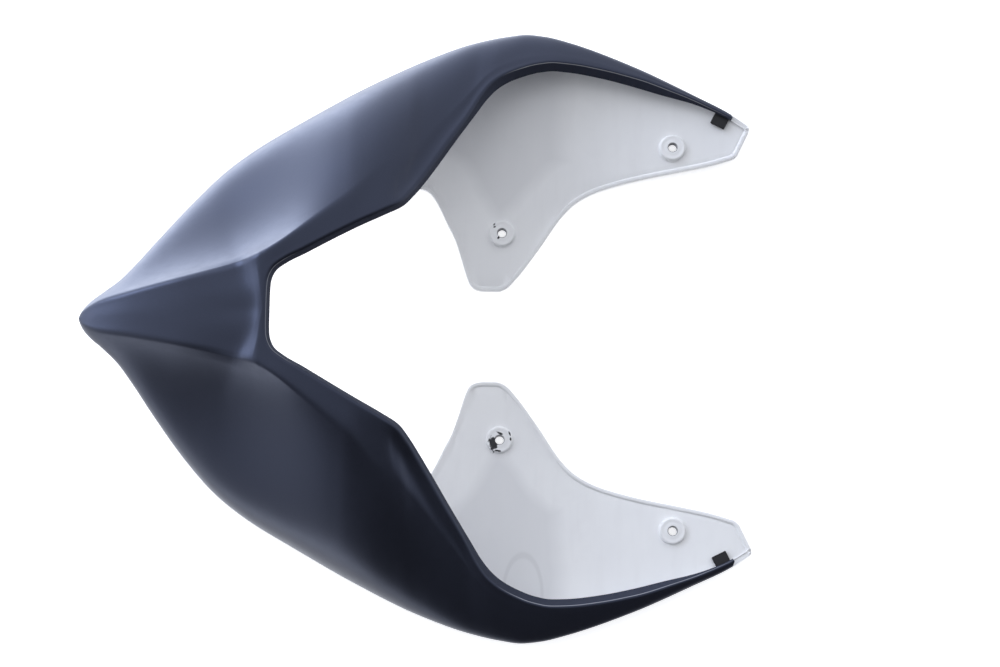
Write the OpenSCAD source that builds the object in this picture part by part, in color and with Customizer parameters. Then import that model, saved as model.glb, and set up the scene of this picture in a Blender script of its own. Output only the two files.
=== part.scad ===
// Seat cowl for a motorbike tail: a V shaped shell with two arms.
// It lies as it would on a table: +X towards the open front of the V,
// +Y to the left, +Z up. Sizes are in millimetres.

/* [Shell] */
// Length from the nose to the front of the arms
cowl_length = 419; // [370:1:470]
// Width over both arms at the widest place
cowl_width = 389; // [345:1:430]
// Height of the highest ridge above the table
cowl_height = 91; // [78:1:104]
// Thickness of the moulded wall
wall = 2.5; // [2:0.1:3]

/* [Inner edge] */
// Radius of the corner between the top skin and the flange towards the seat
edge_roll = 2.8; // [2:0.2:4]
// Depth of the flange below that corner
edge_flange = 3; // [2:0.5:5]
// Width of the sloping flange round the notch
notch_flange = 1.8; // [1:0.2:3]
// Width of the sloping flange on the front half of the arms
arm_flange = 4; // [3:0.5:5]

/* [Ridges] */
// How far the two ridges of the tail are rounded off to each side
ridge_round = 3; // [1.5:0.5:4]

/* [Side panels] */
// Height of the bead round the free edges of the side panels
rim_height = 0.9; // [0.4:0.1:1.4]
// Width of that bead
rim_width = 2.4; // [1.8:0.2:3]

/* [Bosses] */
// Diameter of the screw holes, clearance for an M5 screw
boss_hole_d = 5.5; // [4.5:0.1:6.5]
// Diameter of the raised bosses round the screw holes
boss_d = 16.5; // [13:0.5:19]
// Height of a boss above its side panel
boss_height = 2.5; // [1.5:0.5:4]

/* [Edge pads] */
// Length of a pad along the edge of the arm
pad_length = 9.7; // [8:0.1:12]
// Width of a pad across the side panel
pad_width = 7.6; // [6:0.1:9]
// Thickness of a pad
pad_thickness = 2.8; // [2:0.1:3]

/* [Hidden] */
$fn = 48;

// the curves below are drawn at 419 x 389 x 91 and stretched to the sizes above
sx = cowl_length / 419;
sy = cowl_width / 389;
sz = cowl_height / 91;

// stations along the shell: row_notch is the first one at the seat notch,
// and the top skin stops at row_tip
tail_rows = [0, 0.6, 2.4, 6, 13, 22, 32, 43, 55, 68, 80, 86, 92];
notch_rows = [98, 101.5, 105, 109, 115];
arm_rows = [124, 137, 151, 166, 180, 192, 201, 209];
panel_rows = [214, 219, 224, 229.5, 234.5, 238.5, 241, 244.5, 250, 257, 262, 266.5, 271, 278, 286, 293, 300];
front_rows = [308, 318, 330, 345, 362, 380, 394, 406];
tip_rows = [411, 415.5, 417.2, 419];
rows = concat(tail_rows, notch_rows, arm_rows, panel_rows, front_rows, tip_rows);
last = len(rows) - 1;
row_notch = len(tail_rows);
row_panel = row_notch + len(notch_rows) + len(arm_rows);
row_tip = last - len(tip_rows);

// columns: flange, roll, strip up to the ridge, rounded ridge, flank, roll under, side panel
col_top = 3;
col_ridge = col_top + 4;
col_side = col_ridge + 8;
col_under = col_side + 4;
col_edge = col_under + 5;

// widest outline of the shell, [x, y]
outline = [[13, 16.4], [23, 25.7], [33, 39], [43, 54], [63, 81.3], [83, 103.1], [103, 118.5],
    [133, 136.3], [173, 158.7], [213, 178], [243, 188.6], [263, 193], [275, 194.5],
    [287, 193.3], [303, 189.3], [343, 174.9], [383, 156.6], [403, 146.9], [419, 136.5]];
// height of that outline, [x, z]
outline_z = [[0, 44], [13, 43], [23, 38], [33, 30], [43, 21], [53, 13.5], [63, 8], [75, 4.8],
    [90, 4], [110, 4], [150, 6.5], [193, 10], [243, 16], [300, 17], [343, 15], [373, 13],
    [403, 10.8], [419, 10]];
// inner edge round the notch and along the arm, [station, x, y]
inner_edge = [[98, 121.3, 0], [101.5, 121.3, 8], [105, 121.6, 15.5], [109, 124, 22.6],
    [115, 130.2, 28], [128, 142, 34.6], [145, 157, 43.3], [165, 174, 52.9], [185, 190, 61.5],
    [197, 200, 67.6], [205, 206.5, 75.5], [213, 213, 85.2], [233, 233, 117.7],
    [243, 243, 133.5], [251, 251, 146], [258, 258, 153.8], [265, 265, 158.8],
    [273, 273, 162.7], [283, 283, 166.2], [293, 293, 167.8], [303, 303, 167.4],
    [323, 323, 164.7], [343, 343, 160.4], [363, 363, 155.1], [383, 383, 149.9],
    [403, 403, 141.9], [419, 419, 131.5]];
// height of the top skin along that edge, [station, z]
inner_top = [[98, 91], [116, 90.6], [128, 89.8], [145, 88.2], [165, 85.5], [185, 81.5], [197, 77.5],
    [213, 67], [233, 54.5], [253, 43], [273, 35.5], [293, 31], [343, 23], [373, 19],
    [395, 15.5], [419, 13.5]];
// slope down and outward of the top skin beside the inner edge, [station, degrees]
inner_slope = [[98, 0], [150, 2], [185, 7], [205, 11], [225, 15], [250, 20], [275, 23],
    [300, 22], [340, 23], [419, 26]];
// ridge from the nose past the notch, [x, y, z]
ridge = [[0, 0, 47.3], [3, 3.9, 50.3], [13, 8.8, 57.3], [33, 13.3, 67.2], [63, 19.8, 77.2],
    [80, 23.4, 81.6], [93, 26.3, 84.8], [103, 29.1, 87.2], [109, 31.4, 88.8], [115, 34.2, 90.6],
    [123, 38.9, 90.9], [143, 53.5, 88.9], [163, 69.2, 85.4], [175, 79, 82.4], [200, 99, 74]];
// middle line between the two ridges, [x, z, slope up to the ridge]
middle = [[0, 47.9, 0], [3, 50.5, 0], [13, 57.6, 0], [33, 67.6, 0], [63, 77.8, 0], [80, 81.9, 0],
    [93, 84.2, 1], [102, 85.7, 3], [109, 87.2, 3], [113.5, 88.9, 2], [118, 91, 0]];
// slopes of the skin on the inner and the outer side of the ridge, [station, degrees, degrees]
ridge_slopes = [[0, -8, -40], [6, -5, -48], [20, -5, -56], [60, -4, -60], [100, -2, -59],
    [115, -2, -54], [130, -3, -43], [150, -6, -31], [168, -10, -23], [185, -13, -18], [205, -16, -17],
    [225, -18, -18],
    [250, -23, -23], [275, -26, -26], [300, -27, -27], [340, -29, -29], [419, -31, -31]];
// how far the flank stands proud where the ridge has died away, [station, mm]
flank_bulge = [[160, 10], [185, 13.5], [200, 12.5], [215, 9.2], [230, 6], [250, 3.8], [275, 2],
    [300, 1.5], [419, 0.4]];
// fullness of the flank below the ridge and above the outline, [station, share, share]
flank_fullness = [[0, 0.9, 0.7], [50, 1.45, 0.9], [110, 1.5, 1], [130, 1.25, 1.1], [170, 1.1, 1.1],
    [210, 1, 0.9], [419, 1, 0.9]];
// where the skin has rolled under: reach inwards and height, [station, mm, z]
under = [[0, 3.8, 39.6], [13, 3.9, 38.8], [23, 4.2, 33.2], [33, 4.6, 24.9], [43, 4.8, 15.8],
    [53, 4.8, 8.6], [63, 4.6, 3.5], [75, 4.4, 0.7], [90, 4.4, 0.1], [110, 6, 0.2],
    [150, 12, 1.2], [200, 20, 3.3], [260, 22, 6], [310, 17, 6.5], [370, 9, 6.8], [419, 5, 7]];
// free edge of the side panel, [x, y]
panel_edge = [[90, 103.5], [100, 108.5], [130, 106], [170, 101], [205, 96.5], [213, 93.8],
    [218, 88], [222, 80.5], [226, 72], [231, 62], [235, 50], [238.5, 38.5], [240.8, 33],
    [244.5, 30.2], [250, 29.3], [258, 29.3], [263.5, 31.3], [270, 38], [284, 57], [299, 79],
    [307, 87], [318, 93.5], [329, 97.5], [348, 102.5], [373, 107.5], [392, 111.5], [409.5, 116.5]];
// height of that edge, [station, z]
panel_edge_z = [[0, 39.5], [13, 38.7], [23, 33.1], [33, 24.8], [43, 15.7], [53, 8.5], [63, 3.4],
    [75, 0.6], [90, 0], [150, 0.5], [215, 1], [260, 0], [310, 1], [370, 4.5], [419, 7]];
// the free edge runs round the nose and is cut at a slant in front, [station, x]
panel_slant = [[0, 6.5], [13, 17], [32, 33], [60, 60], [380, 380], [400, 397.5], [412, 405.5], [419, 409.5]];

// places of the screw bosses and the pads
rear_boss = [260.5 * sx, 66.5 * sy];
front_boss = [369 * sx, 123 * sy];
pad_place = [399 * sx, 140.6 * sy];
pad_angle = -27;

// a smooth curve through the points k, without overshoot
function seg(k, x, i = 0) = (i >= len(k) - 2 || x < k[i + 1][0]) ? i : seg(k, x, i + 1);
function rise(k, i, c) = (k[i + 1][c] - k[i][c]) / (k[i + 1][0] - k[i][0]);
function mean_rise(a, b, g, h) = a * b <= 0 ? 0 : 3 * (g + h) / ((2 * h + g) / a + (h + 2 * g) / b);
function grad(k, i, c) =
    i == 0 ? rise(k, 0, c) :
    i == len(k) - 1 ? rise(k, i - 1, c) :
    mean_rise(rise(k, i - 1, c), rise(k, i, c), k[i][0] - k[i - 1][0], k[i + 1][0] - k[i][0]);
function hermite(a, b, ta, tb, t) =
    (2 * t * t * t - 3 * t * t + 1) * a + (t * t * t - 2 * t * t + t) * ta
    + (3 * t * t - 2 * t * t * t) * b + (t * t * t - t * t) * tb;
function at(k, x, c = 1) =
    let (u = min(max(x, k[0][0]), k[len(k) - 1][0]), i = seg(k, u), h = k[i + 1][0] - k[i][0])
    hermite(k[i][c], k[i + 1][c], grad(k, i, c) * h, grad(k, i + 1, c) * h, (u - k[i][0]) / h);
function ramp(a, b, x) = let (t = min(max((x - a) / (b - a), 0), 1)) t * t * (3 - 2 * t);
function unit(v) = v / max(norm(v), 1e-6);
function flat(v) = unit([v.x, v.y, 0]);

// outline with a round nose
function out_y(x) = x < 13 ? 16.4 * pow(max(x, 0) / 13, 0.56) : at(outline, x);
function low_x(q) = at(panel_slant, q);
function low_y(q) =
    q >= 112 ? at(panel_edge, low_x(q)) :
    let (lip = out_y(q) * (1 - 7.5 / max(out_y(q), 15)), g = ramp(86, 112, q))
    lip * (1 - g) + at(panel_edge, max(q, 90)) * g;

// the rolled inner edge of the top skin at station q, column j
function edge_dir(q) =
    let (a = max(q - 0.05, 98), b = max(q, 98) + 0.05)
    unit([at(inner_edge, a, 2) - at(inner_edge, b, 2), at(inner_edge, b) - at(inner_edge, a), 0]);
function lean(q) = (notch_flange + (arm_flange - notch_flange) * ramp(236, 258, q)) * (1 - 0.85 * ramp(345, 400, q));
function drop(q) = edge_flange * (1 - 0.73 * ramp(345, 400, q)) + ramp(236, 258, q) * (1 - ramp(345, 400, q));
function roll(q) = edge_roll * (1 - 0.29 * ramp(225, 256, q)) * (1 - 0.4 * ramp(345, 400, q));
function edge_point(q, j) =
    let (n = edge_dir(q), first = atan2(drop(q), max(lean(q), 1e-6)), r = roll(q),
        foot = at(inner_top, q) - r * (1 - cos(first)) - drop(q),
        turn = first + (-at(inner_slope, q) - first) * (j - 1) / (col_top - 1),
        away = j == 0 ? 0 : lean(q) + r * (sin(first) - sin(turn)),
        up = j == 0 ? foot : foot + drop(q) + r * (cos(turn) - cos(first)))
    [at(inner_edge, q), at(inner_edge, q, 2), up] + n * away;

// one row of the outer surface, from the inner edge over the top and under
function row_points(q) =
    let (tail = q < 98,
        mx = q * edge_point(98, col_top).x / 98,
        top = tail ? [mx, 0, at(middle, mx)] : edge_point(q, col_top),
        side = [q, out_y(q), at(outline_z, q)],
        rx = top.x + (side.x - top.x) * 0.28,
        fade = ramp(168, 200, rx),
        ry = rx < 13 ? out_y(rx) * 8.8 / 16.4 : at(ridge, rx),
        mid = top + (side - top) * 0.3,
        ridge_pt = [rx, ry * (1 - fade) + mid.y * fade,
            at(ridge, rx, 2) * (1 - fade) + (mid.z + at(flank_bulge, q)) * fade],
        turn = ramp(104, 118, q),
        away = tail ? [0, 1, 0] : unit(edge_dir(q) * turn + flat(ridge_pt - top) * (1 - turn)),
        tilt = tail ? -at(middle, mx, 2) : at(inner_slope, q) * turn,
        out = flat(side - top),
        s_in = at(ridge_slopes, q),
        s_out = at(ridge_slopes, q, 2),
        into = [out.x * cos(s_in), out.y * cos(s_in), sin(s_in)],
        off = [out.x * cos(s_out), out.y * cos(s_out), sin(s_out)],
        soft = max(0.3, min(ridge_round, ry * 0.3, norm(side - top) * 0.1, norm(ridge_pt - top) * 0.25)),
        before = ridge_pt - into * soft,
        after = ridge_pt + off * soft,
        w1 = norm(before - top) * 0.9,
        w2 = norm(side - after),
        end = [low_x(q), low_y(q), at(panel_edge_z, q)],
        depth = norm([end.x - side.x, end.y - side.y]),
        part = min(at(under, q) / depth, 0.62),
        low = [side.x + (end.x - side.x) * part, side.y + (end.y - side.y) * part, at(under, q, 2)],
        w3 = norm(low - side) * 1.25,
        span = norm(end - low),
        bead = 1 - rim_width / max(span, 6),
        inside = 1 - (rim_width + 0.8) / max(span, 6))
    [for (j = [0 : col_edge])
        j <= col_top ? (tail ? top : edge_point(q, j)) :
        j < col_ridge ? hermite(top, before, [away.x * cos(tilt), away.y * cos(tilt), -sin(tilt)] * w1,
            into * w1, (j - col_top) / (col_ridge - 1 - col_top)) :
        j == col_ridge ? (before + 2 * ridge_pt + after) / 4 :
        j <= col_side ? hermite(after, side, off * w2 * at(flank_fullness, q),
            [0, 0, -w2 * at(flank_fullness, q, 2)],
            pow((j - col_ridge - 1) / (col_side - col_ridge - 1), 0.95)) :
        j <= col_under ? hermite(side, low, [0, 0, -w3], unit(end - low) * w3,
            (j - col_side) / (col_under - col_side)) :
        low + (end - low) * (j == col_edge ? 1 : j == col_edge - 1 ? bead :
            inside * (j - col_under) / (col_edge - 2 - col_under))];

// outer surface, stretched to size, with the half seam kept at y = 0
outer = [for (q = rows) [for (p = row_points(q)) [p.x * sx, q == 0 ? 0 : p.y * sy, p.z * sz]]];

// wall thickness, with the bead along the panel edges and a finer lip at the tip
function on_bead(i, j) = i >= row_panel - 1 && (j >= col_edge - 1 || (i >= last - 1 && j > col_side));
function thick(i, j) =
    on_bead(i, j) ? wall + rim_height :
    j > col_side ? min(wall, 1.4 + 1.1 * ramp(70, 110, rows[i])) :
    min(wall - (wall - 1.2) * ramp(320, 380, rows[i]), 1 + 0.25 * rows[i],
        roll(rows[i]) - 0.3 - 0.9 * (1 - ramp(98, 115, rows[i])) + max(j - col_top, 0) * 0.25);
function first_col(i) = i < row_notch ? col_top : 0;
function normal(i, j) =
    let (a = j < col_top ? max(i - 1, row_notch) : max(i - 1, 0), b = min(i + 1, last),
        c = max(j - 1, first_col(i)), d = min(j + 1, col_edge),
        n = cross(outer[b][j] - outer[a][j], outer[i][d] - outer[i][c]))
    unit(on_seam(i, j) ? [n.x, 0, n.z] : n);
function on_seam(i, j) = i == 0 || (i < row_notch && j <= col_top) || (i == row_notch && j <= col_top);
function inner_point(i, j) =
    let (p = outer[i][j] - normal(i, j) * thick(i, j)) [max(p.x, 1 + outer[i][j].x * 0.6), p.y, p.z];
inner = [for (i = [0 : last]) [for (j = [0 : col_edge]) inner_point(i, j)]];

// a cell of the grid is left out ahead of the notch and past the tip of the top skin
function cell(i, j) =
    i >= 0 && i < last && j >= 0 && j < col_edge
    && !(i < row_notch && j < col_top) && !(i >= row_tip && j < col_side);

// point numbers: outer and inner surface of one half, then of the other
per_row = col_edge + 1;
per_skin = per_row * (last + 1);
function id(half, skin, i, j) =
    let (jj = i < row_notch ? max(j, col_top) : j)
    (on_seam(i, jj) ? 0 : half) * 2 * per_skin + skin * per_skin + i * per_row + jj;
function quad(a, b, c, d) = [[a, b, c], [a, c, d]];
function turned(half, q) = half == 0 ? q : [for (t = q) [t[2], t[1], t[0]]];
function solid_face(t) = t[0] != t[1] && t[1] != t[2] && t[0] != t[2];

skins = [for (half = [0, 1], i = [0 : last - 1], j = [0 : col_edge - 1]) if (cell(i, j))
    each turned(half, concat(
        quad(id(half, 0, i, j), id(half, 0, i, j + 1), id(half, 0, i + 1, j + 1), id(half, 0, i + 1, j)),
        quad(id(half, 1, i, j), id(half, 1, i + 1, j), id(half, 1, i + 1, j + 1), id(half, 1, i, j + 1))))];
function wall_of(half, a, b) = turned(half, quad(
    id(half, 0, a[0], a[1]), id(half, 1, a[0], a[1]), id(half, 1, b[0], b[1]), id(half, 0, b[0], b[1])));
function seam_edge(a, b) = on_seam(a[0], a[1]) && on_seam(b[0], b[1]);
borders = [for (half = [0, 1], i = [0 : last - 1], j = [0 : col_edge - 1]) if (cell(i, j)) each concat(
    cell(i, j - 1) || seam_edge([i, j], [i + 1, j]) ? [] : wall_of(half, [i + 1, j], [i, j]),
    cell(i, j + 1) ? [] : wall_of(half, [i, j + 1], [i + 1, j + 1]),
    cell(i - 1, j) || seam_edge([i, j], [i, j + 1]) ? [] : wall_of(half, [i, j], [i, j + 1]),
    cell(i + 1, j) ? [] : wall_of(half, [i + 1, j + 1], [i + 1, j]))];
half_points = concat([for (r = outer) each r], [for (r = inner) each r]);
points = concat(half_points, [for (p = half_points) [p.x, -p.y, p.z]]);

// the finished length, which puts the origin in the middle
reach_x = max([for (i = [row_tip : last], j = [col_side : col_edge]) max(outer[i][j].x, inner[i][j].x)]);

// height of the underside of a side panel
function panel_z(x, y) =
    let (q = x / sx, low = out_y(q) - at(under, q), f = (y / sy - low_y(q)) / (low - low_y(q)))
    sz * (at(panel_edge_z, q) * (1 - f) + at(under, q, 2) * f);

module on_both_sides(p) {
    for (s = [1, -1]) translate([p.x, s * p.y, 0]) children();
}

module boss(p) {
    z = panel_z(p.x, p.y);
    translate([0, 0, z + wall / 2]) cylinder(d = boss_d, h = wall / 2 + boss_height);
}

module cowl_shell() {
    color([0.16, 0.18, 0.24])
    translate([-reach_x / 2, 0, 0])
    difference() {
        union() {
            polyhedron([for (p = points) p], [for (t = concat(skins, borders)) if (solid_face(t)) t], convexity = 12);
            on_both_sides(rear_boss) boss(rear_boss);
            on_both_sides(front_boss) boss(front_boss);
        }
        on_both_sides(rear_boss) translate([0, 0, -5]) cylinder(d = boss_hole_d, h = 30);
        on_both_sides(front_boss) translate([0, 0, -5]) cylinder(d = boss_hole_d, h = 30);
    }
}

module edge_pad(side) {
    z = panel_z(pad_place.x, pad_place.y) + wall + 0.15;
    color([0.06, 0.06, 0.07])
    translate([pad_place.x - reach_x / 2, side * pad_place.y, z])
    rotate([0, 0, side * pad_angle])
    translate([-pad_length / 2, -pad_width / 2, 0])
    cube([pad_length, pad_width, pad_thickness]);
}

module edge_pad_left() {
    edge_pad(1);
}

module edge_pad_right() {
    edge_pad(-1);
}

cowl_shell();
edge_pad_left();
edge_pad_right();
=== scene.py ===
"""Seat cowl: a smooth painted shell with bare inner panels, its screw bosses and two edge pads."""
import math

import bmesh
import bpy
import numpy as np
from mathutils import Matrix, Vector


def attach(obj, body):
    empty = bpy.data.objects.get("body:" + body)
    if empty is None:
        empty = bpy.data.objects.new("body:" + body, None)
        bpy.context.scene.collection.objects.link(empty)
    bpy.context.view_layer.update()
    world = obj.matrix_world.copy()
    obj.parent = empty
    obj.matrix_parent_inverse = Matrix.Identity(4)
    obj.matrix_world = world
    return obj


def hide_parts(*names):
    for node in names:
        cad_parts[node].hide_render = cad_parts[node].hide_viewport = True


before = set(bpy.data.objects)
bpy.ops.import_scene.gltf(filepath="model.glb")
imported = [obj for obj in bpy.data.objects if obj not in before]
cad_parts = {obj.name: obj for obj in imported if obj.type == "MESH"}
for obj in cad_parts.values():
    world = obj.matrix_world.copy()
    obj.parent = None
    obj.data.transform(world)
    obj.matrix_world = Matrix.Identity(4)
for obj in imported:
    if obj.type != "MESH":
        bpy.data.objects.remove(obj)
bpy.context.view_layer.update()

MM = 0.001
MID_X = 209.5          # plan station of the frame's origin
WALL = 2.5
WIDTH_TRIM = 0.9994    # keeps the finer outline inside the solids' box
TIP_WALL = 1.2         # the top skin's wall at the front tips
NOTCH_START = 98       # station where the notch opens
BEAD_START = 205       # station where the bead along the side panels starts
SKIN_END = 406         # station where the arms' top skin ends, short of the panels

# ---------------------------------------------------------------- rails, the same as the solids'
OUTLINE = [[13, 16.4], [23, 25.7], [33, 39], [43, 54], [63, 81.3], [83, 103.1], [103, 118.5],
           [133, 136.3], [173, 158.7], [213, 178], [243, 188.6], [263, 193], [275, 194.5],
           [287, 193.3], [303, 189.3], [343, 174.9], [383, 156.6], [403, 146.9], [419, 136.5]]
OUTLINE_Z = [[0, 44], [13, 43], [23, 38], [33, 30], [43, 21], [53, 13.5], [63, 8], [75, 4.8], [90, 4],
             [110, 4], [150, 6.5], [193, 10], [243, 16], [300, 17], [343, 15], [373, 13], [403, 10.8],
             [419, 10]]
INNER_EDGE = [[98, 121.3, 0], [101.5, 121.3, 8], [105, 121.6, 15.5], [109, 124, 22.6],
              [115, 130.2, 28], [128, 142, 34.6], [145, 157, 43.3], [165, 174, 52.9], [185, 190, 61.5],
              [197, 200, 67.6], [205, 206.5, 75.5], [213, 213, 85.2], [233, 233, 117.7],
              [243, 243, 133.5], [251, 251, 146], [258, 258, 153.8], [265, 265, 158.8],
              [273, 273, 162.7], [283, 283, 166.2], [293, 293, 167.8], [303, 303, 167.4],
              [323, 323, 164.7], [343, 343, 160.4], [363, 363, 155.1], [383, 383, 149.9],
              [403, 403, 141.9], [419, 419, 131.5]]
INNER_TOP = [[98, 91], [116, 90.6], [128, 89.8], [145, 88.2], [165, 85.5], [185, 81.5], [197, 77.5],
             [213, 67], [233, 54.5], [253, 43], [273, 35.5], [293, 31], [343, 23], [373, 19],
             [395, 15.5], [419, 13.5]]
INNER_SLOPE = [[98, 0], [150, 2], [185, 7], [205, 11], [225, 15], [250, 20], [275, 23], [300, 22],
               [340, 23], [419, 26]]
RIDGE = [[0, 0, 47.3], [3, 3.9, 50.3], [13, 8.8, 57.3], [33, 13.3, 67.2], [63, 19.8, 77.2],
         [80, 23.4, 81.6], [93, 26.3, 84.8], [103, 29.1, 87.2], [109, 31.4, 88.8], [115, 34.2, 90.6],
         [123, 38.9, 90.9], [143, 53.5, 88.9], [163, 69.2, 85.4], [175, 79, 82.4], [200, 99, 74]]
MIDDLE = [[0, 47.9, 0], [3, 50.5, 0], [13, 57.6, 0], [33, 67.6, 0], [63, 77.8, 0], [80, 81.9, 0],
          [93, 84.2, 1], [102, 85.7, 3], [109, 87.2, 3], [113.5, 88.9, 2], [118, 91, 0]]
RIDGE_SLOPES = [[0, -8, -40], [6, -5, -48], [20, -5, -56], [60, -4, -60], [100, -2, -59],
                [115, -2, -54], [130, -3, -43], [150, -6, -31], [168, -10, -23], [185, -13, -18],
                [205, -16, -17], [225, -18, -18], [250, -23, -23], [275, -26, -26], [300, -27, -27],
                [340, -29, -29], [419, -31, -31]]
FLANK_BULGE = [[160, 10], [185, 13.5], [200, 12.5], [215, 9.2], [230, 6], [250, 3.8], [275, 2],
               [300, 1.5], [419, 0.4]]
FLANK_FULLNESS = [[0, 0.9, 0.7], [50, 1.45, 0.9], [110, 1.5, 1], [130, 1.25, 1.1], [170, 1.1, 1.1],
                  [210, 1, 0.9], [419, 1, 0.9]]
UNDER = [[0, 3.8, 39.6], [13, 3.9, 38.8], [23, 4.2, 33.2], [33, 4.6, 24.9], [43, 4.8, 15.8],
         [53, 4.8, 8.6], [63, 4.6, 3.5], [75, 4.4, 0.7], [90, 4.4, 0.1], [110, 6, 0.2], [150, 12, 1.2],
         [200, 20, 3.3], [260, 22, 6], [310, 17, 6.5], [370, 9, 6.8], [419, 5, 7]]
PANEL_EDGE = [[90, 103.5], [100, 108.5], [130, 106], [170, 101], [205, 96.5], [213, 93.8], [218, 88],
              [222, 80.5], [226, 72], [231, 62], [235, 50], [238.5, 38.5], [240.8, 33], [244.5, 30.2],
              [250, 29.3], [258, 29.3], [263.5, 31.3], [270, 38], [284, 57], [299, 79], [307, 87],
              [318, 93.5], [329, 97.5], [348, 102.5], [373, 107.5], [392, 111.5], [409.5, 116.5]]
PANEL_EDGE_Z = [[0, 39.5], [13, 38.7], [23, 33.1], [33, 24.8], [43, 15.7], [53, 8.5], [63, 3.4],
                [75, 0.6], [90, 0], [150, 0.5], [215, 1], [260, 0], [310, 1], [370, 4.5], [419, 7]]
PANEL_SLANT = [[0, 6.5], [13, 17], [32, 33], [60, 60], [380, 380], [400, 397.5], [412, 405.5],
               [419, 409.5]]


def rail(knots, x, col=1):
    """Smooth curve through the knots, without overshoot."""
    k = np.asarray(knots, float)
    xs, ys = k[:, 0], k[:, col]
    h = np.diff(xs)
    d = np.diff(ys) / h
    m = np.zeros_like(ys)
    m[0], m[-1] = d[0], d[-1]
    for i in range(1, len(xs) - 1):
        if d[i - 1] * d[i] > 0:
            a, b = h[i - 1], h[i]
            m[i] = 3 * (a + b) / ((2 * b + a) / d[i - 1] + (b + 2 * a) / d[i])
    u = np.clip(np.asarray(x, float), xs[0], xs[-1])
    i = np.clip(np.searchsorted(xs, u, side="right") - 1, 0, len(xs) - 2)
    t = (u - xs[i]) / h[i]
    return ((2 * t**3 - 3 * t**2 + 1) * ys[i] + (t**3 - 2 * t**2 + t) * h[i] * m[i]
            + (3 * t**2 - 2 * t**3) * ys[i + 1] + (t**3 - t**2) * h[i] * m[i + 1])


def ramp(a, b, x):
    """Nought up to a, one from b on, smooth between."""
    t = np.clip((np.asarray(x, float) - a) / (b - a), 0, 1)
    return t * t * (3 - 2 * t)


def unit(v):
    return v / np.maximum(np.linalg.norm(v, axis=-1, keepdims=True), 1e-9)


def vec(x, y, z):
    return np.stack(np.broadcast_arrays(x, y, z), -1).astype(float)


def plan(v):
    return unit(v * [1, 1, 0])


def hermite(a, b, ta, tb, t):
    return ((2 * t**3 - 3 * t**2 + 1) * a + (t**3 - 2 * t**2 + t) * ta
            + (3 * t**2 - 2 * t**3) * b + (t**3 - t**2) * tb)


def out_y(x):
    """Half width of the outline, round at the tail."""
    x = np.asarray(x, float)
    return np.where(x < 13, 16.4 * (np.maximum(x, 0) / 13) ** 0.56, rail(OUTLINE, x))


def low_y(q):
    """Where the skin ends inwards: the lip under the tail, then the side panel's edge."""
    edge = rail(PANEL_EDGE, np.maximum(rail(PANEL_SLANT, q), 90))
    lip = out_y(q) * (1 - 7.5 / np.maximum(out_y(q), 15))
    g = ramp(86, 112, q)
    return np.where(q >= 112, edge, lip * (1 - g) + rail(PANEL_EDGE, np.maximum(q, 90)) * g)


def edge_dir(q):
    """Direction in plan from the opening into the skin."""
    a, b = np.maximum(q - 0.05, NOTCH_START), np.maximum(q, NOTCH_START) + 0.05
    return unit(vec(rail(INNER_EDGE, a, 2) - rail(INNER_EDGE, b, 2),
                    rail(INNER_EDGE, b) - rail(INNER_EDGE, a), 0))


def lean(q):
    """How far the flange leans out, from its foot to the roll."""
    return (1.8 + 2.2 * ramp(236, 258, q)) * (1 - 0.85 * ramp(345, 400, q))


def drop(q):
    """Height of the flange."""
    g = ramp(345, 400, q)
    return 3 * (1 - 0.73 * g) + ramp(236, 258, q) * (1 - g)


def roll(q):
    """Radius of the rolled edge."""
    return 2.8 * (1 - 0.29 * ramp(225, 256, q)) * (1 - 0.4 * ramp(345, 400, q))


def edge_point(q, j):
    """Point of the rolled inner edge, j = 0 at the foot of the flange, 3 where the top skin starts."""
    n, r = edge_dir(q), roll(q)
    first = np.arctan2(drop(q), np.maximum(lean(q), 1e-6))
    slope = np.radians(rail(INNER_SLOPE, q))
    foot = rail(INNER_TOP, q) - r * (1 - np.cos(first)) - drop(q)
    if j <= 1:
        away, up = lean(q) * j, foot + drop(q) * j
    else:
        turn = first + (-slope - first) * (j - 1) / 2
        away = lean(q) + r * (np.sin(first) - np.sin(turn))
        up = foot + drop(q) + r * (np.cos(turn) - np.cos(first))
    return vec(rail(INNER_EDGE, q), rail(INNER_EDGE, q, 2), up) + n * away[:, None]


def fine(ends, parts):
    """Even steps between each two ends, as many as parts says."""
    out = []
    for a, b, n in zip(ends[:-1], ends[1:], parts):
        out.extend(np.linspace(a, b, n + 1)[:-1])
    return np.array(out + [ends[-1]])


# the solids' columns at which the roll, the top strip, the ridge, the flank, the roll under,
# the side panel and the panel's edge start; the finer columns are fractions of them
C_ROLL, C_TOP, C_RIDGE, C_FLANK, C_SIDE, C_PANEL, C_EDGE, C_END = 1, 3, 6, 8, 15, 19, 22, 24
COLS = fine([0, C_ROLL, C_TOP, C_RIDGE, C_FLANK, C_SIDE, C_PANEL, C_EDGE, C_END],
            [3, 8, 11, 6, 24, 14, 18, 9])
TAIL_RIDGE, ARM_RIDGE = 0.28, 0.3        # the ridge's place between the top edge and the side
STRIP_PULL, UNDER_PULL = 0.9, 1.25       # how far the curves of the strip and the roll under swing
FLANK_PACE = 0.95
EDGE_BAND = 4.0                          # width of the side panel's edge, with its finer columns


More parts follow.
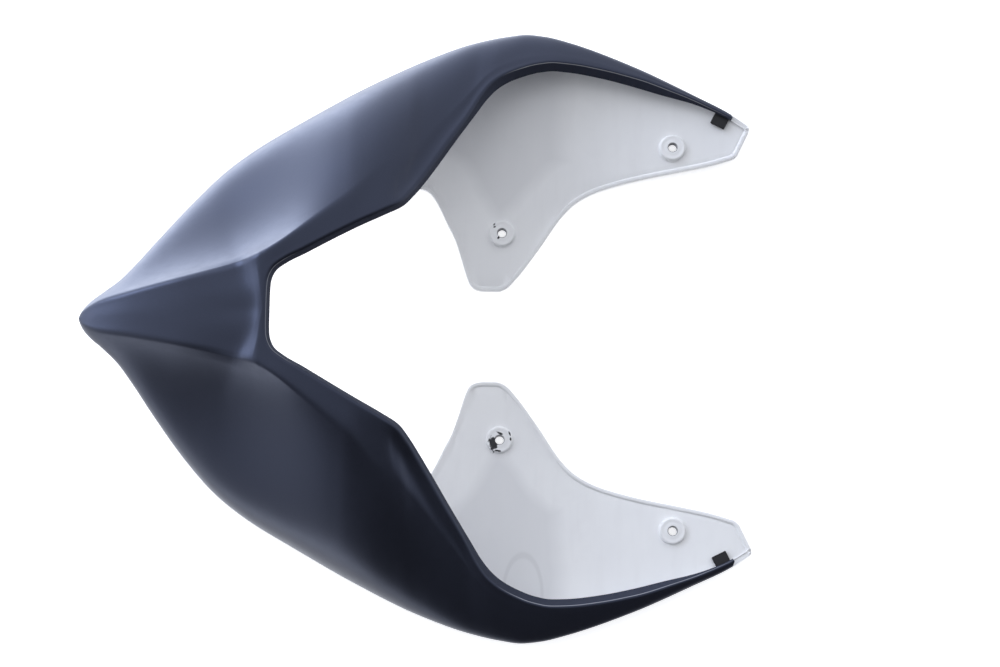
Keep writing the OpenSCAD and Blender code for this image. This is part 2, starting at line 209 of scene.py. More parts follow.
def surface(q):
    """Outer surface as a grid of rows (stations q) and columns (COLS), in millimetres."""
    q = np.asarray(q, float)
    tail = q < NOTCH_START
    tcol = tail[:, None]
    # top edge, side and ridge of each section; in the tail the top edge is the middle line
    mx = q * edge_point(np.array([float(NOTCH_START)]), C_TOP)[0, 0] / NOTCH_START
    top = np.where(tcol, vec(mx, 0 * q, rail(MIDDLE, mx)), edge_point(q, C_TOP))
    side = vec(q, out_y(q), rail(OUTLINE_Z, q))
    rx = top[:, 0] + (side[:, 0] - top[:, 0]) * TAIL_RIDGE
    fade = ramp(168, 200, rx)
    ry = np.where(rx < 13, out_y(rx) * 8.8 / 16.4, rail(RIDGE, rx))
    mid = top + (side - top) * ARM_RIDGE
    ridge = vec(rx, ry * (1 - fade) + mid[:, 1] * fade,
                rail(RIDGE, rx, 2) * (1 - fade) + (mid[:, 2] + rail(FLANK_BULGE, q)) * fade)
    # directions in which the skin leaves the top edge, reaches the ridge and leaves it
    turn = ramp(104, 118, q)
    away = np.where(tcol, [0.0, 1.0, 0.0],
                    unit(edge_dir(q) * turn[:, None] + plan(ridge - top) * (1 - turn)[:, None]))
    tilt = np.radians(np.where(tail, -rail(MIDDLE, mx, 2), rail(INNER_SLOPE, q) * turn))
    out = plan(side - top)
    s_in, s_out = np.radians(rail(RIDGE_SLOPES, q)), np.radians(rail(RIDGE_SLOPES, q, 2))
    into = vec(out[:, 0] * np.cos(s_in), out[:, 1] * np.cos(s_in), np.sin(s_in))
    off = vec(out[:, 0] * np.cos(s_out), out[:, 1] * np.cos(s_out), np.sin(s_out))
    length = np.linalg.norm(side - top, axis=1)
    soft = np.maximum(0.3, np.minimum.reduce([3 + 0 * q, ry * 0.3, length * 0.1,
                                              np.linalg.norm(ridge - top, axis=1) * 0.25]))[:, None]
    before, after = ridge - into * soft, ridge + off * soft
    w1 = np.linalg.norm(before - top, axis=1)[:, None] * STRIP_PULL
    w2 = np.linalg.norm(side - after, axis=1)[:, None]
    # foot of the roll under, and free edge of the side panel
    end = vec(rail(PANEL_SLANT, q), low_y(q), rail(PANEL_EDGE_Z, q))
    depth = np.linalg.norm((end - side)[:, :2], axis=1)
    part = np.minimum(rail(UNDER, q) / depth, 0.62)
    low = vec(side[:, 0] + (end[:, 0] - side[:, 0]) * part,
              side[:, 1] + (end[:, 1] - side[:, 1]) * part, rail(UNDER, q, 2))
    w3 = np.linalg.norm(low - side, axis=1)[:, None] * UNDER_PULL
    span = np.linalg.norm(end - low, axis=1)
    d_in = EDGE_BAND / np.maximum(span, 6)
    grid = []
    for c in COLS:
        if c <= C_TOP:
            p = np.where(tcol, top, edge_point(q, c))
        elif c < C_RIDGE:
            t = (c - C_TOP) / (C_RIDGE - C_TOP)
            start = vec(away[:, 0] * np.cos(tilt), away[:, 1] * np.cos(tilt), -np.sin(tilt))
            p = hermite(top, before, start * w1, into * w1, t)
        elif c < C_FLANK:
            t = (c - C_RIDGE) / (C_FLANK - C_RIDGE)
            p = before * (1 - t)**2 + 2 * ridge * t * (1 - t) + after * t**2
        elif c <= C_SIDE:
            t = ((c - C_FLANK) / (C_SIDE - C_FLANK)) ** FLANK_PACE
            full = vec(0 * q, 0 * q, -w2[:, 0] * rail(FLANK_FULLNESS, q, 2))
            p = hermite(after, side, off * w2 * rail(FLANK_FULLNESS, q)[:, None], full, t)
        elif c <= C_PANEL:
            t = (c - C_SIDE) / (C_PANEL - C_SIDE)
            p = hermite(side, low, vec(0 * q, 0 * q, -w3[:, 0]), unit(end - low) * w3, t)
        elif c < C_EDGE:
            p = low + (end - low) * ((1 - d_in) * (c - C_PANEL) / (C_EDGE - C_PANEL))[:, None]
        else:
            p = low + (end - low) * (1 - d_in * ((C_END - c) / (C_END - C_EDGE)))[:, None]
        grid.append(p)
    return np.stack(grid, 1) * [1, WIDTH_TRIM, 1]


ROWS = fine([0, 0.6, 2.4, 6, 13, 32, 60, NOTCH_START, 101.5, 109, 115, 130, 190, BEAD_START, 245, 262,
             275, 300, 345, SKIN_END, 412, 419],
            [3, 5, 5, 6, 10, 10, 13, 3, 8, 6, 8, 22, 8, 26, 12, 8, 12, 16, 20, 5, 12])
CUT = int(np.argmin(abs(ROWS - SKIN_END)))
NOTCH = int(np.argmin(abs(ROWS - NOTCH_START)))
TOP = int(np.argmin(abs(COLS - C_TOP)))
SIDE = int(np.argmin(abs(COLS - C_SIDE)))
NR, NC = len(ROWS), len(COLS)


def to_line(points, line):
    """Distance from each point to a polyline."""
    best = np.full(points.shape[:-1], 1e9)
    for a, b in zip(line[:-1], line[1:]):
        ab = b - a
        t = np.clip(((points - a) @ ab) / max(ab @ ab, 1e-12), 0, 1)
        best = np.minimum(best, np.linalg.norm(points - (a + t[..., None] * ab), axis=-1))
    return best


DIP_MIDDLE, DIP_CORNER = 0.6, 3.2        # depth before the notch, and what its corners add
DIP_END, DIP_CURVE = 113, 0.008          # the dip ends on this curve across the notch's edge
TIP_RADIUS = 3
SWEEP = (78, 156)                        # stations between which the flank is one sweep


def scoop(grid):
    """Lower the skin a little before the notch, most at its corners, so that the arms' roots stand up."""
    x, y = grid[..., 0], grid[..., 1]
    past = x - (DIP_END - DIP_CURVE * y * y)
    share = (1 - ramp(C_RIDGE + 0.6, C_FLANK + 2, COLS)) * ramp(60, 106, x)
    depth = DIP_MIDDLE + DIP_CORNER * ramp(6, 27, y)
    grid[..., 2] -= depth * share * (1 - ramp(-5.5, 5.5, past))
    return grid


def round_tip(grid, radius):
    """Round the two front corners of each side panel in plan."""
    for j, step in ((SIDE, 1), (NC - 1, -1)):
        tip = grid[-1, j]
        # d: how far each point lies inside the corner's square, along its two edges
        back = (grid[-6, j] - tip)[:2]
        across = (grid[-1, j + 4 * step] - tip)[:2]
        axes = np.stack([back / np.linalg.norm(back), across / np.linalg.norm(across)], 1)
        near = (slice(CUT, None), slice(SIDE, None))
        d = radius - (grid[near][..., :2] - tip[:2]) @ np.linalg.inv(axes).T
        inside = (d > 0).all(-1)
        shrink = np.where(inside, d.max(-1) / np.maximum(np.linalg.norm(d, axis=-1), 1e-9), 1.0)
        moved = tip[:2] + (radius - d * shrink[..., None]) @ axes.T
        grid[near][..., :2] = np.where(inside[..., None], moved, grid[near][..., :2])
    return grid


def ease_seam(grid, before, after):
    """Carry the flank in one sweep past the row where the fan round the notch starts."""
    i0, i1 = np.searchsorted(ROWS, before), np.searchsorted(ROWS, after)
    span = ROWS[i1] - ROWS[i0]
    t0 = (grid[i0] - grid[i0 - 2]) / (ROWS[i0] - ROWS[i0 - 2])
    t1 = (grid[i1 + 2] - grid[i1]) / (ROWS[i1 + 2] - ROWS[i1])
    share = (ramp(C_RIDGE + 1, C_FLANK + 1.5, COLS) * (1 - ramp(12, C_SIDE, COLS)))[:, None]
    for i in range(i0 + 1, i1):
        p = hermite(grid[i0], grid[i1], t0 * span, t1 * span, (ROWS[i] - ROWS[i0]) / span)
        grid[i] += (p - grid[i]) * share
    return grid


BEAD_RISE, BEAD_ROUND, GROOVE_DEPTH = 0.9, 0.9, 0.25


def skins():
    """Outer and inner grid, and each point's distance from the side panel's free edge."""
    outer = round_tip(scoop(ease_seam(surface(ROWS), *SWEEP)), TIP_RADIUS)
    du = np.gradient(outer, axis=0)
    dv = np.gradient(outer, axis=1)
    du[0] = outer[1] - outer[0]
    n = np.cross(du, dv)
    # the tail's seam is shared with the other half
    n[:NOTCH + 1, :TOP + 1, 1] = 0
    n[0, :, 1] = 0
    for j in range(TOP):
        n[NOTCH, j] = np.cross(outer[NOTCH + 1, j] - outer[NOTCH, j], dv[NOTCH, j]) * [1, 0, 1]
    n = unit(n)
    q, c = ROWS[:, None], COLS[None, :]
    # the wall thins towards the front tips, at the very tail and inside the roll
    thin = np.minimum(WALL - (WALL - TIP_WALL) * ramp(320, 380, q), 1 + 0.25 * q)
    thin = np.minimum(thin, roll(ROWS)[:, None] - 0.3 - 0.9 * (1 - ramp(NOTCH_START, 115, q))
                      + np.maximum(c - C_TOP, 0) * 0.25)
    # and in the lip under the tail
    low = np.minimum(WALL, 1.4 + 1.1 * ramp(70, 110, q)) + 0 * c
    g = ramp(C_SIDE, C_SIDE + 1, c)
    t = thin * (1 - g) + low * g
    # bead along the free edges of the side panel
    edge = np.concatenate([outer[ROWS >= BEAD_START + 2, -1], outer[-1, SIDE:-1][::-1],
                           outer[CUT:-1, SIDE][::-1]])
    d = np.full(t.shape, 99.0)
    rows = np.where(ROWS >= BEAD_START)[0]
    block = outer[rows][:, SIDE:]
    d[np.ix_(rows, np.arange(SIDE, NC))] = to_line(block, edge)
    grown = ramp(BEAD_START, BEAD_START + 9, q)
    bead = BEAD_RISE * (1 - ramp(2.0, 3.0, d)) * grown
    groove = GROOVE_DEPTH * ramp(2.6, 3.1, d) * (1 - ramp(3.1, 4.2, d)) * grown
    corner = np.clip(1 - d / BEAD_ROUND, 0, 1)
    round_over = BEAD_ROUND * (1 - np.sqrt(1 - corner**2 * 0.98)) * grown
    t = t + bead - groove - round_over
    inner = outer - n * t[..., None]
    inner[..., 0] = np.maximum(inner[..., 0], 1 + outer[..., 0] * 0.6)
    return outer, inner, d


outer, inner, edge_d = skins()


def vid(skin, i, j):
    """Index of a grid point; in the tail all columns before the top strip are one seam."""
    if i < NOTCH:
        j = max(j, TOP)
    return (skin * NR + i) * NC + j


def cell(i, j):
    """Whether the skin has a face there."""
    return (0 <= i < NR - 1 and 0 <= j < NC - 1 and not (i < NOTCH and j < TOP)
            and not (i >= CUT and j < SIDE))


def half_faces():
    """Quads of one half with their material, 0 for paint and 1 for bare: both skins and their rims."""
    faces = []
    for i in range(NR - 1):
        for j in range(NC - 1):
            if not cell(i, j):
                continue
            corners = ((i, j), (i, j + 1), (i + 1, j + 1), (i + 1, j))
            o0, o1, o2, o3 = (vid(0, *at) for at in corners)
            n0, n1, n2, n3 = (vid(1, *at) for at in corners)
            faces.append(([o0, o1, o2, o3], 0))
            faces.append(([n0, n3, n2, n1], 1))
            if not cell(i, j - 1) and not (i < NOTCH and j == TOP):
                faces.append(([o3, n3, n0, o0], 0 if j == 0 else 1))
            if not cell(i, j + 1):
                faces.append(([o1, n1, n2, o2], 1 if ROWS[i] > BEAD_START else 0))
            if not cell(i - 1, j) and not (i == 0 or (i == NOTCH and j < TOP)):
                faces.append(([o0, n0, n1, o1], 0))
            if not cell(i + 1, j):
                faces.append(([o2, n2, n3, o3], 0 if j < SIDE else 1))
    return faces


def shell_mesh():
    """Closed shell of both halves, with painted faces outside and bare ones inside."""
    pts = np.concatenate([outer.reshape(-1, 3), inner.reshape(-1, 3)])
    both = np.concatenate([pts, pts * [1, -1, 1]])
    faces, mats = [], []
    for f, m in half_faces():
        f = [v for k, v in enumerate(f) if v != f[k - 1]]
        if len(f) < 3:
            continue
        faces += [f, [v + len(pts) for v in reversed(f)]]
        mats += [m, m]
    me = bpy.data.meshes.new("cowl_skin")
    me.from_pydata([((x - MID_X) * MM, y * MM, z * MM) for x, y, z in both], [], faces)
    me.polygons.foreach_set("material_index", mats)
    seam = np.where(ROWS < NOTCH_START, C_TOP, 0)[:, None]
    for name, grid in (("free_edge", edge_d), ("along", ROWS[:, None] + 0 * COLS),
                       ("across", np.maximum(COLS, seam))):
        att = me.attributes.new(name, "FLOAT", "POINT")
        att.data.foreach_set("value", np.tile(grid.ravel(), 4).astype(np.float32))
    bm = bmesh.new()
    bm.from_mesh(me)
    bmesh.ops.remove_doubles(bm, verts=[v for v in bm.verts if abs(v.co.y) < 3e-5], dist=1e-5)
    loose = [v for v in bm.verts if not v.link_faces]
    bmesh.ops.delete(bm, geom=loose, context="VERTS")
    bmesh.ops.dissolve_degenerate(bm, edges=bm.edges, dist=1e-7)
    bmesh.ops.holes_fill(bm, edges=[e for e in bm.edges if e.is_boundary], sides=0)
    bmesh.ops.recalc_face_normals(bm, faces=bm.faces)
    bm.to_mesh(me)
    bm.free()
    me.update()
    return me


def add(name, mesh):
    o = bpy.data.objects.new(name, mesh)
    bpy.context.scene.collection.objects.link(o)
    return o


def smooth(mesh, angle=32):
    mesh.shade_smooth()
    mesh.set_sharp_from_angle(angle=math.radians(angle))


# ---------------------------------------------------------------- small parts
def panel_z(x, y):
    """Height of the underside of a side panel, in millimetres."""
    q = np.array([float(x)])
    low = out_y(q)[0] - rail(UNDER, q)[0]
    edge = low_y(q)[0]
    f = (abs(y) - edge) / (low - edge)
    return rail(PANEL_EDGE_Z, q)[0] * (1 - f) + rail(UNDER, q, 2)[0] * f


def lathe(name, profile, at, segments=72):
    """Ring turned about a vertical axis from (radius, height) points, in millimetres."""
    me = bpy.data.meshes.new(name)
    verts, faces = [], []
    profile = [p for i, p in enumerate(profile) if math.dist(p, profile[i - 1]) > 1e-6]
    n = len(profile)
    for k in range(segments):
        a = 2 * math.pi * k / segments
        for r, z in profile:
            verts.append(((at[0] - MID_X + r * math.cos(a)) * MM, (at[1] + r * math.sin(a)) * MM,
                          (at[2] + z) * MM))
    for k in range(segments):
        after = (k + 1) % segments
        for i in range(n):
            j = (i + 1) % n
            faces.append([k * n + i, after * n + i, after * n + j, k * n + j])
    me.from_pydata(verts, [], faces)
    bm = bmesh.new()
    bm.from_mesh(me)
    bmesh.ops.recalc_face_normals(bm, faces=bm.faces)
    bm.to_mesh(me)
    bm.free()
    return me


def arc(cx, cz, r, a0, a1, n=6):
    """Points of an arc from angle a0 to a1, in degrees."""
    return [(cx + r * math.cos(math.radians(a0 + (a1 - a0) * k / n)),
             cz + r * math.sin(math.radians(a0 + (a1 - a0) * k / n))) for k in range(n + 1)]


REAR_BOSS = (260.5, 66.5)
FRONT_BOSS = (369.0, 123.0)
BORE, BOSS, BOSS_H = 2.75, 8.25, 2.5     # the two radii and the height
BORE_STEP = 0.02       # the skin's bore is this much tighter, so that no two faces coincide


def boss_profile():
    """From the bore's foot up and round to the fillet on the panel."""
    top = BOSS_H
    return ([(BORE, -WALL), (BORE, top - 0.35)] + arc(BORE + 0.35, top - 0.35, 0.35, 180, 90)
            + [(BORE + 1.6, top), (BORE + 2.0, top - 0.12), (BOSS - 2.0, top - 0.12), (BOSS - 1.5, top)]
            + arc(BOSS - 1.1, top - 1.1, 1.1, 90, 0) + [(BOSS, 1.0)]
            + arc(BOSS + 0.9, 0.9, 0.9, 180, 262) + [(BOSS + 0.9, -0.5)])


# overspray on the rear bosses: offset from the bore, half axes, turn, and the side (left 1, right -1)
OVERSPRAY = ((-4.9, 5.6, 0.9, 0.5, 60, 1), (-4.8, 3.9, 0.9, 0.5, 25, 1), (-2.1, -3.1, 0.6, 1.0, -30, 1),
             (-4.2, -2.6, 2.5, 4.2, 8, -1), (0.1, 4.1, 1.9, 0.7, -25, -1), (-1.1, -7.0, 1.9, 0.6, -5, -1),
             (6.4, 3.9, 0.4, 1.5, 20, -1), (7.0, 0.2, 0.6, 1.0, 0, -1))
PAINT, BARE, FOAM = (bpy.data.materials.new(n) for n in ("satin_paint", "bare_moulding", "foam_rubber"))
BOSS_PLACES = [(x, s * y) for x, y in (REAR_BOSS, FRONT_BOSS) for s in (1, -1)]
BOSS_NAMES = ("boss_rear_left", "boss_rear_right", "boss_front_left", "boss_front_right")


def bored_shell():
    """The skin with the four screw holes cut through its side panels."""
    o = add("cowl_shell_skin", shell_mesh())
    o.data.materials.append(PAINT)
    o.data.materials.append(BARE)
    cutters = []
    for x, y in BOSS_PLACES:
        bpy.ops.mesh.primitive_cylinder_add(vertices=72, radius=(BORE - BORE_STEP) * MM, depth=30 * MM,
                                            location=((x - MID_X) * MM, y * MM, 5 * MM))
        cutters.append(bpy.context.object)
    for c in cutters:
        mod = o.modifiers.new("bore", "BOOLEAN")
        mod.operation, mod.object, mod.solver = "DIFFERENCE", c, "EXACT"
    bpy.context.view_layer.update()
    cut = bpy.data.meshes.new_from_object(o.evaluated_get(bpy.context.evaluated_depsgraph_get()))
    o.modifiers.clear()
    o.data = cut
    for c in cutters:
        bpy.data.objects.remove(c, do_unlink=True)
    smooth(o.data, 34)
    return o


def boss(name, x, y):
    """One screw boss, seated on the side panel."""
    o = add(name, lathe("boss", boss_profile(), (x, y, panel_z(x, y) + WALL)))
    smooth(o.data, 40)
    o.data.materials.append(BARE)
    return o


def soft_box(name, size, at, angle, bevel, crown):
    """Rounded block with a slightly crowned top, in millimetres."""
    bm = bmesh.new()
    bmesh.ops.create_cube(bm, size=1)
    for v in bm.verts:
        v.co = Vector((v.co.x * size[0], v.co.y * size[1], (v.co.z + 0.5) * size[2]))
    bmesh.ops.bevel(bm, geom=list(bm.edges), offset=bevel, segments=4, profile=0.5,
                    affect="EDGES")
    top = [f for f in bm.faces if f.normal.z > 0.9 and f.calc_area() > 1]
    bmesh.ops.subdivide_edges(bm, edges=list(dict.fromkeys(e for f in top for e in f.edges)),
                              cuts=6, use_grid_fill=True)
    for v in bm.verts:
        if v.co.z > size[2] - 1e-4:
            u = (2 * v.co.x / size[0])**2 + (2 * v.co.y / size[1])**2
            v.co.z -= crown * min(u, 1)
    bm.transform(Matrix.Rotation(math.radians(angle), 4, "Z"))
    bm.transform(Matrix.Translation(Vector(at) - Vector((MID_X, 0, 0))))
    bm.transform(Matrix.Scale(MM, 4))
    me = bpy.data.meshes.new(name)
    bm.to_mesh(me)
    bm.free()
    smooth(me, 50)
    return add(name, me)


PAD = (399.0, 140.6)
PAD_SIZE, PAD_TURN = (9.7, 7.6, 2.8), -27
PAD_BEVEL, PAD_CROWN, PAD_LIFT = 0.55, 0.15, 0.15


def edge_pad(side, s):
    """Foam pad on the tip of one side panel; s is 1 on the left and -1 on the right."""
    z = panel_z(*PAD) + WALL + PAD_LIFT
    o = soft_box("pad_" + side, PAD_SIZE, (PAD[0], s * PAD[1], z), PAD_TURN * s, PAD_BEVEL, PAD_CROWN)
    o.data.materials.append(FOAM)
    return o


shell = bored_shell()
pieces = [shell] + [boss(name, x, y) for name, (x, y) in zip(BOSS_NAMES, BOSS_PLACES)]
pads = {side: edge_pad(side, s) for side, s in (("left", 1), ("right", -1))}


# ---------------------------------------------------------------- materials
# linear colours
PAINT_DEEP, PAINT_FLAKE = (0.0085, 0.009, 0.0135), (0.0135, 0.0142, 0.021)
PAINT_HAZE = (0.0105, 0.0112, 0.0165)
# the first colour on the next line is a painted highlight for the rolled edges
EDGE_HIGHLIGHT, BLUE_GLOSS = (0.34, 0.345, 0.37), (0.57, 0.667, 1.0, 1)
BARE_LOW, BARE_HIGH, BARE_SPOT = (0.85, 0.855, 0.875), (0.90, 0.905, 0.915), (0.82, 0.82, 0.84)
# the first colour on the next line is painted shade for the panels under the top skin
BARE_SHADED, BARE_STREAK, BARE_ARCH = (0.76, 0.765, 0.785), (0.80, 0.80, 0.815), (0.55, 0.55, 0.57)
BORE_SHADE, MIST = (0.10, 0.10, 0.11), (0.012, 0.013, 0.017)
FOAM_DEEP, FOAM_CELL = (0.006, 0.006, 0.008), (0.018, 0.018, 0.022)


def nodes_of(m):
    m.use_nodes = True
    nt = m.node_tree
    return m, nt, nt.nodes["Principled BSDF"]


def new(nt, kind, **values):
    """New node, with its sockets or settings by name."""
    n = nt.nodes.new(kind)
    for k, v in values.items():
        if k in n.inputs:
            n.inputs[k].default_value = v
        else:
            setattr(n, k, v)
    return n


def noise(nt, scale, detail=3, rough=0.5, coords=None):
    n = new(nt, "ShaderNodeTexNoise", Scale=scale, Detail=detail, Roughness=rough)
    if coords is not None:
        nt.links.new(coords, n.inputs["Vector"])
    return n.outputs["Fac"]


def blend(nt, fac, a, b):
    m = nt.nodes.new("ShaderNodeMix")
    m.data_type = "RGBA"
    for sock, v in ((m.inputs[0], fac), (m.inputs[6], a), (m.inputs[7], b)):
        if isinstance(v, bpy.types.NodeSocket):
            nt.links.new(v, sock)
        elif isinstance(v, (int, float)):
            sock.default_value = v
        else:
            sock.default_value = (*v, 1)
    return m.outputs[2]


def remap(nt, v, a, b, c, d):
    """Straight from a..b to c..d, held at both ends."""
    m = new(nt, "ShaderNodeMapRange", clamp=True)
    m.inputs[1].default_value, m.inputs[2].default_value = a, b
    m.inputs[3].default_value, m.inputs[4].default_value = c, d
    nt.links.new(v, m.inputs[0])
    return m.outputs[0]


def maths(nt, operation, *values):
    n = new(nt, "ShaderNodeMath", operation=operation)
    for sock, v in zip(n.inputs, values):
        if isinstance(v, bpy.types.NodeSocket):
            nt.links.new(v, sock)
        else:
            sock.default_value = v
    return n.outputs[0]


def attribute(nt, name):
    return new(nt, "ShaderNodeAttribute", attribute_name=name).outputs["Fac"]


def line(nt, v, at, width):
    """One on the line v = at, falling to nothing at the given width."""
    away = maths(nt, "ABSOLUTE", maths(nt, "SUBTRACT", v, at))
    return remap(nt, away, 0.35 * width, width, 1, 0)


def spot(nt, obj, at, size, angle=0.0):
    """Distance from an ellipse's middle in units of its half axes, at and size in plan millimetres."""
    n = new(nt, "ShaderNodeMapping", vector_type="TEXTURE")
    n.inputs["Location"].default_value = ((at[0] - MID_X) * MM, at[1] * MM, 0)
    n.inputs["Rotation"].default_value = (0, 0, math.radians(angle))
    n.inputs["Scale"].default_value = (size[0] * MM, size[1] * MM, 1)
    nt.links.new(obj, n.inputs["Vector"])
    return maths(nt, "SQRT", flat_square(nt, n.outputs[0]))


def flat_square(nt, v):
    """Square of a vector's length in plan."""
    part = new(nt, "ShaderNodeSeparateXYZ")
    nt.links.new(v, part.inputs[0])
    x, y = part.outputs[0], part.outputs[1]
    return maths(nt, "ADD", maths(nt, "MULTIPLY", x, x), maths(nt, "MULTIPLY", y, y))


def bump(nt, bsdf, layers):
    last = None
    for height, strength, distance in layers:
        b = new(nt, "ShaderNodeBump", Strength=strength, Distance=distance)
        nt.links.new(height, b.inputs["Height"])
        if last is not None:
            nt.links.new(last, b.inputs["Normal"])
        last = b.outputs["Normal"]
    nt.links.new(last, bsdf.inputs["Normal"])


def paint_material():
    """Satin blue-black metallic paint: fine flake, faint orange peel, a little haze, and painted
    highlights along the rolled edges.
    """
    m, nt, b = nodes_of(PAINT)
    obj = new(nt, "ShaderNodeTexCoord").outputs["Object"]
    flake = noise(nt, 2600, 1, 0.6, obj)
    cloud = noise(nt, 9, 3, 0.5, obj)
    colour = blend(nt, remap(nt, flake, 0.35, 0.7, 0, 1), PAINT_DEEP, PAINT_FLAKE)
    colour = blend(nt, remap(nt, cloud, 0.35, 0.65, 0, 0.25), colour, PAINT_HAZE)
    across, along = attribute(nt, "across"), attribute(nt, "along")
    # painted highlights: thin light lines where the edge rolls over, on the arms and in the notch
    arm = maths(nt, "MULTIPLY", remap(nt, along, 262, 276, 0, 1), remap(nt, along, 385, 412, 1, 0))
    crest = maths(nt, "MULTIPLY", line(nt, across, 1.5, 0.3), arm)
    notch = maths(nt, "MULTIPLY", line(nt, across, 1.25, 0.25), remap(nt, along, 112, 125, 1, 0))
    edge_highlight = maths(nt, "MAXIMUM", maths(nt, "MULTIPLY", crest, 0.8), maths(nt, "MULTIPLY", notch, 0.5))
    colour = blend(nt, edge_highlight, colour, EDGE_HIGHLIGHT)
    nt.links.new(colour, b.inputs["Base Color"])
    rough = remap(nt, noise(nt, 160, 4, 0.6, obj), 0.3, 0.7, 0.31, 0.36)
    flange = remap(nt, across, 0.9, 1.4, 0.3, 0)       # the flange is duller than the skin
    nt.links.new(maths(nt, "ADD", rough, flange), b.inputs["Roughness"])
    b.inputs["IOR"].default_value = 1.65
    b.inputs["Specular Tint"].default_value = BLUE_GLOSS
    bump(nt, b, [(noise(nt, 420, 2, 0.5, obj), 0.05, 0.0004), (flake, 0.04, 0.0001)])
    return m


def bare_material():
    """Bare light grey moulding with soft flow marks, paint mist on the rear bosses, and painted shade
    under the top skin and round each bore.
    """
    m, nt, b = nodes_of(BARE)
    obj = new(nt, "ShaderNodeTexCoord").outputs["Object"]
    soft = noise(nt, 14, 4, 0.55, obj)
    spots = noise(nt, 90, 3, 0.6, obj)
    colour = blend(nt, remap(nt, soft, 0.3, 0.7, 0, 1), BARE_LOW, BARE_HIGH)
    colour = blend(nt, remap(nt, spots, 0.55, 0.75, 0, 0.25), colour, BARE_SPOT)
    # painted shade under the top skin: darker away from the panel's front and its free edges, with a
    # wandering border
    part = new(nt, "ShaderNodeSeparateXYZ")
    nt.links.new(obj, part.inputs[0])
    wander = remap(nt, noise(nt, 22, 2, 0.5, obj), 0.3, 0.7, -0.004, 0.004)
    front = remap(nt, maths(nt, "ADD", part.outputs[0], wander), 0.083, 0.096, 0, 1)
    from_edge = maths(nt, "ADD", attribute(nt, "free_edge"), maths(nt, "MULTIPLY", wander, 900))
    rim = remap(nt, from_edge, 23, 33, 1, 0)
    clear = maths(nt, "MAXIMUM", front, rim)
    colour = blend(nt, maths(nt, "SUBTRACT", 1, clear), colour, BARE_SHADED)
    # streaks that run sideways
    stretch = new(nt, "ShaderNodeMapping")
    stretch.inputs["Scale"].default_value = (1, 0.12, 1)
    nt.links.new(obj, stretch.inputs["Vector"])
    streak = noise(nt, 120, 3, 0.6, stretch.outputs[0])
    colour = blend(nt, remap(nt, streak, 0.5, 0.72, 0, 0.3), colour, BARE_STREAK)
    # a faint arch on the right panel
    arch = maths(nt, "MULTIPLY", line(nt, spot(nt, obj, (276, -163), (12, 24)), 1, 0.12),
                 remap(nt, part.outputs[1], -0.172, -0.163, 0.1, 0.3))
    colour = blend(nt, arch, colour, BARE_ARCH)
    # painted shade: a dark rim round each bore
    bores = [spot(nt, obj, at, (1, 1)) for at in BOSS_PLACES]
    ring = maths(nt, "MINIMUM", maths(nt, "MINIMUM", bores[0], bores[1]),
                 maths(nt, "MINIMUM", bores[2], bores[3]))
    colour = blend(nt, remap(nt, ring, BORE + 0.2, BORE + 0.65, 0.85, 0), colour, BORE_SHADE)
    mist = None
    ragged = remap(nt, noise(nt, 500, 3, 0.6, obj), 0.25, 0.75, -0.55, 0.55)
    for dx, dy, half_x, half_y, turn, side in OVERSPRAY:
        at = (REAR_BOSS[0] + dx, side * REAR_BOSS[1] + dy)
        bounds = maths(nt, "ADD", spot(nt, obj, at, (half_x, half_y), turn), ragged)
        one = remap(nt, bounds, 0.9, 1.15, 1, 0)
        mist = one if mist is None else maths(nt, "MAXIMUM", mist, one)
    colour = blend(nt, mist, colour, MIST)
    nt.links.new(colour, b.inputs["Base Color"])
    rough = remap(nt, noise(nt, 60, 4, 0.6, obj), 0.3, 0.7, 0.40, 0.52)
    nt.links.new(rough, b.inputs["Roughness"])
    bump(nt, b, [(noise(nt, 30, 3, 0.5, obj), 0.08, 0.0008),
                 (noise(nt, 900, 2, 0.5, obj), 0.05, 0.0001)])
    return m


def pad_material():
    """Black foam rubber with fine cells."""
    m, nt, b = nodes_of(FOAM)
    obj = new(nt, "ShaderNodeTexCoord").outputs["Object"]
    cells = noise(nt, 2200, 3, 0.6, obj)
    colour = blend(nt, remap(nt, cells, 0.35, 0.7, 0, 1), FOAM_DEEP, FOAM_CELL)
    nt.links.new(colour, b.inputs["Base Color"])
    nt.links.new(remap(nt, cells, 0.3, 0.7, 0.6, 0.85), b.inputs["Roughness"])
    bump(nt, b, [(cells, 0.35, 0.0002)])
    return m


paint_material()
bare_material()
pad_material()

for p in pieces:
    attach(p, "root")
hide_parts("cowl_shell")
for side, p in pads.items():
    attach(p, "root")
    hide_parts("edge_pad_" + side)

# ---------------------------------------------------------------- floor, light and camera
# the floor glows a little, so that it stays white
bpy.ops.mesh.primitive_plane_add(size=12, location=(0, 0, -0.0004))
floor = bpy.context.object
floor.name = "floor"
m, nt, b = nodes_of(bpy.data.materials.new("floor_white"))
b.inputs["Base Color"].default_value = (0.86, 0.86, 0.87, 1)
b.inputs["Roughness"].default_value = 0.9
b.inputs["Emission Color"].default_value = (1, 1, 1, 1)
b.inputs["Emission Strength"].default_value = 0.75
floor.data.materials.append(m)
floor.visible_glossy = False

world = bpy.data.worlds.new("studio")
bpy.context.scene.world = world
world.use_nodes = True
wt = world.node_tree
back = wt.nodes["Background"]
back.inputs["Color"].default_value = (0.96, 0.985, 1.04, 1)
sky = new(wt, "ShaderNodeTexCoord").outputs["Generated"]


COS_SPAN = 1.2         # the curves run over cosines from minus this to this


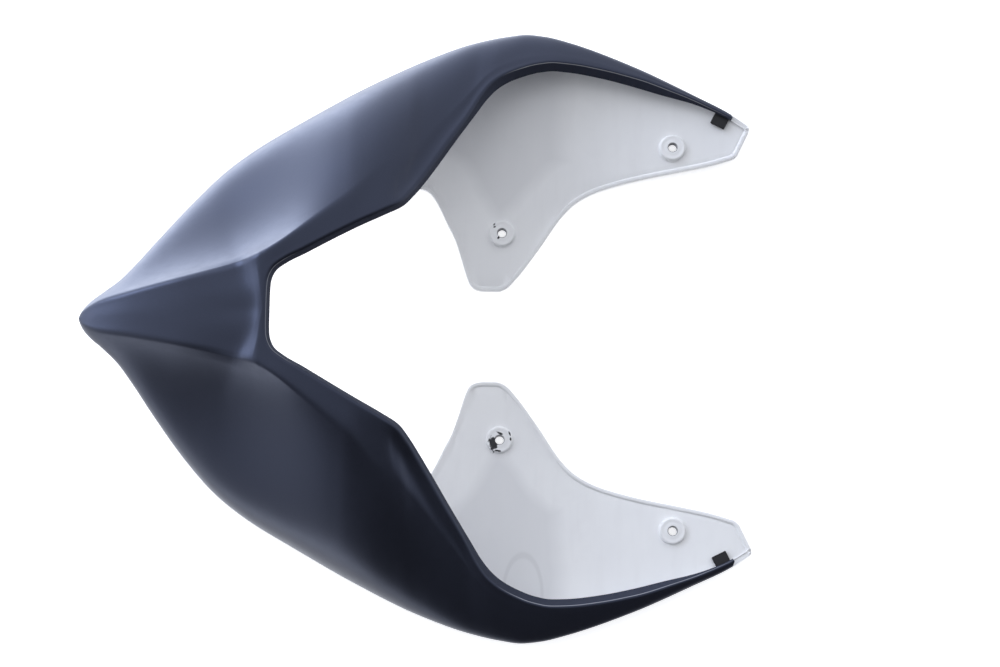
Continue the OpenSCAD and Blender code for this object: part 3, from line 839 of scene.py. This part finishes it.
def lobe(direction, knots, top):
    """Brightness of the tent as a curve over the cosine to one direction, up to top."""
    side = new(wt, "ShaderNodeVectorMath", operation="DOT_PRODUCT")
    wt.links.new(sky, side.inputs[0])
    side.inputs[1].default_value = direction
    node = new(wt, "ShaderNodeFloatCurve")
    wt.links.new(remap(wt, side.outputs["Value"], -COS_SPAN, COS_SPAN, 0, 1), node.inputs["Value"])
    points = node.mapping.curves[0].points
    knots = [((c + COS_SPAN) / (2 * COS_SPAN), v / top) for c, v in knots]
    points[0].location, points[1].location = knots[0], knots[-1]
    for x, y in knots[1:-1]:
        points.new(x, y)
    node.mapping.update()
    return remap(wt, node.outputs["Value"], 0, 1, 0, top)


# white tent: dark to the right, dimmed low at the left front, and a patch low at the right rear
room = lobe((0.29, -0.894, 0.342),
            [(-1, 1.0), (0.1, 1.0), (0.24, 0.86), (0.37, 0.78), (0.47, 0.6), (0.6, 0.33),
             (0.68, 0.2), (0.8, 0.09), (1, 0.06)], 1)
shade = lobe((0.45, 0.84, -0.3), [(-1, 1), (0.84, 1), (0.93, 0.6), (0.98, 0.35), (1, 0.3)], 1)
table_light = lobe((-0.59, -0.705, -0.375), [(-1, 0), (0.93, 0), (0.965, 0.5), (1, 1.6)], 2)
# bluish light: a wide one from low at the left rear, and two narrow ones behind the tail
window = lobe((-0.57, 0.82, -0.5),
              [(-1, 0), (0, 0), (0.26, 0.05), (0.42, 0.15), (0.5, 0.24), (0.74, 0.67),
               (0.93, 1.05), (1.0, 1.35), (1.06, 2.4), (1.12, 3.8), (1.2, 4.2)], 5)
tail_light = lobe((-0.75, 0.56, 0.35), [(-1, 0), (0.93, 0), (0.96, 1.0), (0.98, 3), (1, 6)], 9)
tip_light = lobe((-0.97, 0.14, 0.2), [(-1, 0), (0.89, 0), (0.93, 0.3), (0.97, 1.0), (1, 1.8)], 2)
white_sum = maths(wt, "ADD", maths(wt, "MULTIPLY", room, shade), table_light)
blue_sum = maths(wt, "ADD", window, maths(wt, "ADD", tail_light, tip_light))
wt.links.new(white_sum, back.inputs["Strength"])
blue = new(wt, "ShaderNodeBackground")
blue.inputs["Color"].default_value = (0.84, 0.93, 1.14, 1)
wt.links.new(blue_sum, blue.inputs["Strength"])
total = wt.nodes.new("ShaderNodeAddShader")
wt.links.new(back.outputs[0], total.inputs[0])
wt.links.new(blue.outputs[0], total.inputs[1])
wt.links.new(total.outputs[0], wt.nodes["World Output"].inputs["Surface"])

# camera: distance and the picture's scale at the target in metres, its width in pixels
ROLL, YAW, DIST, SCALE = math.radians(10.5), 0.012, 1.650, 0.635e-3
IMAGE_WIDTH, SENSOR = 1000, 36
target = Vector((0.0505, 0.0025, 0))
right = Vector((math.cos(YAW), math.sin(YAW), 0))
up0 = Vector((-math.sin(YAW), math.cos(YAW), 0))
back_dir = -math.sin(ROLL) * up0 + math.cos(ROLL) * Vector((0, 0, 1))
up = math.cos(ROLL) * up0 + math.sin(ROLL) * Vector((0, 0, 1))
cam = bpy.data.cameras.new("camera")
cam.sensor_fit, cam.sensor_width = "HORIZONTAL", SENSOR
cam.lens = SENSOR * (DIST / SCALE) / IMAGE_WIDTH
camera = bpy.data.objects.new("camera", cam)
bpy.context.scene.collection.objects.link(camera)
camera.matrix_world = Matrix.Translation(target + DIST * back_dir) @ Matrix(
    ((right.x, up.x, back_dir.x), (right.y, up.y, back_dir.y), (right.z, up.z, back_dir.z))).to_4x4()
bpy.context.scene.camera = camera
bpy.context.scene.view_settings.view_transform = "Standard"
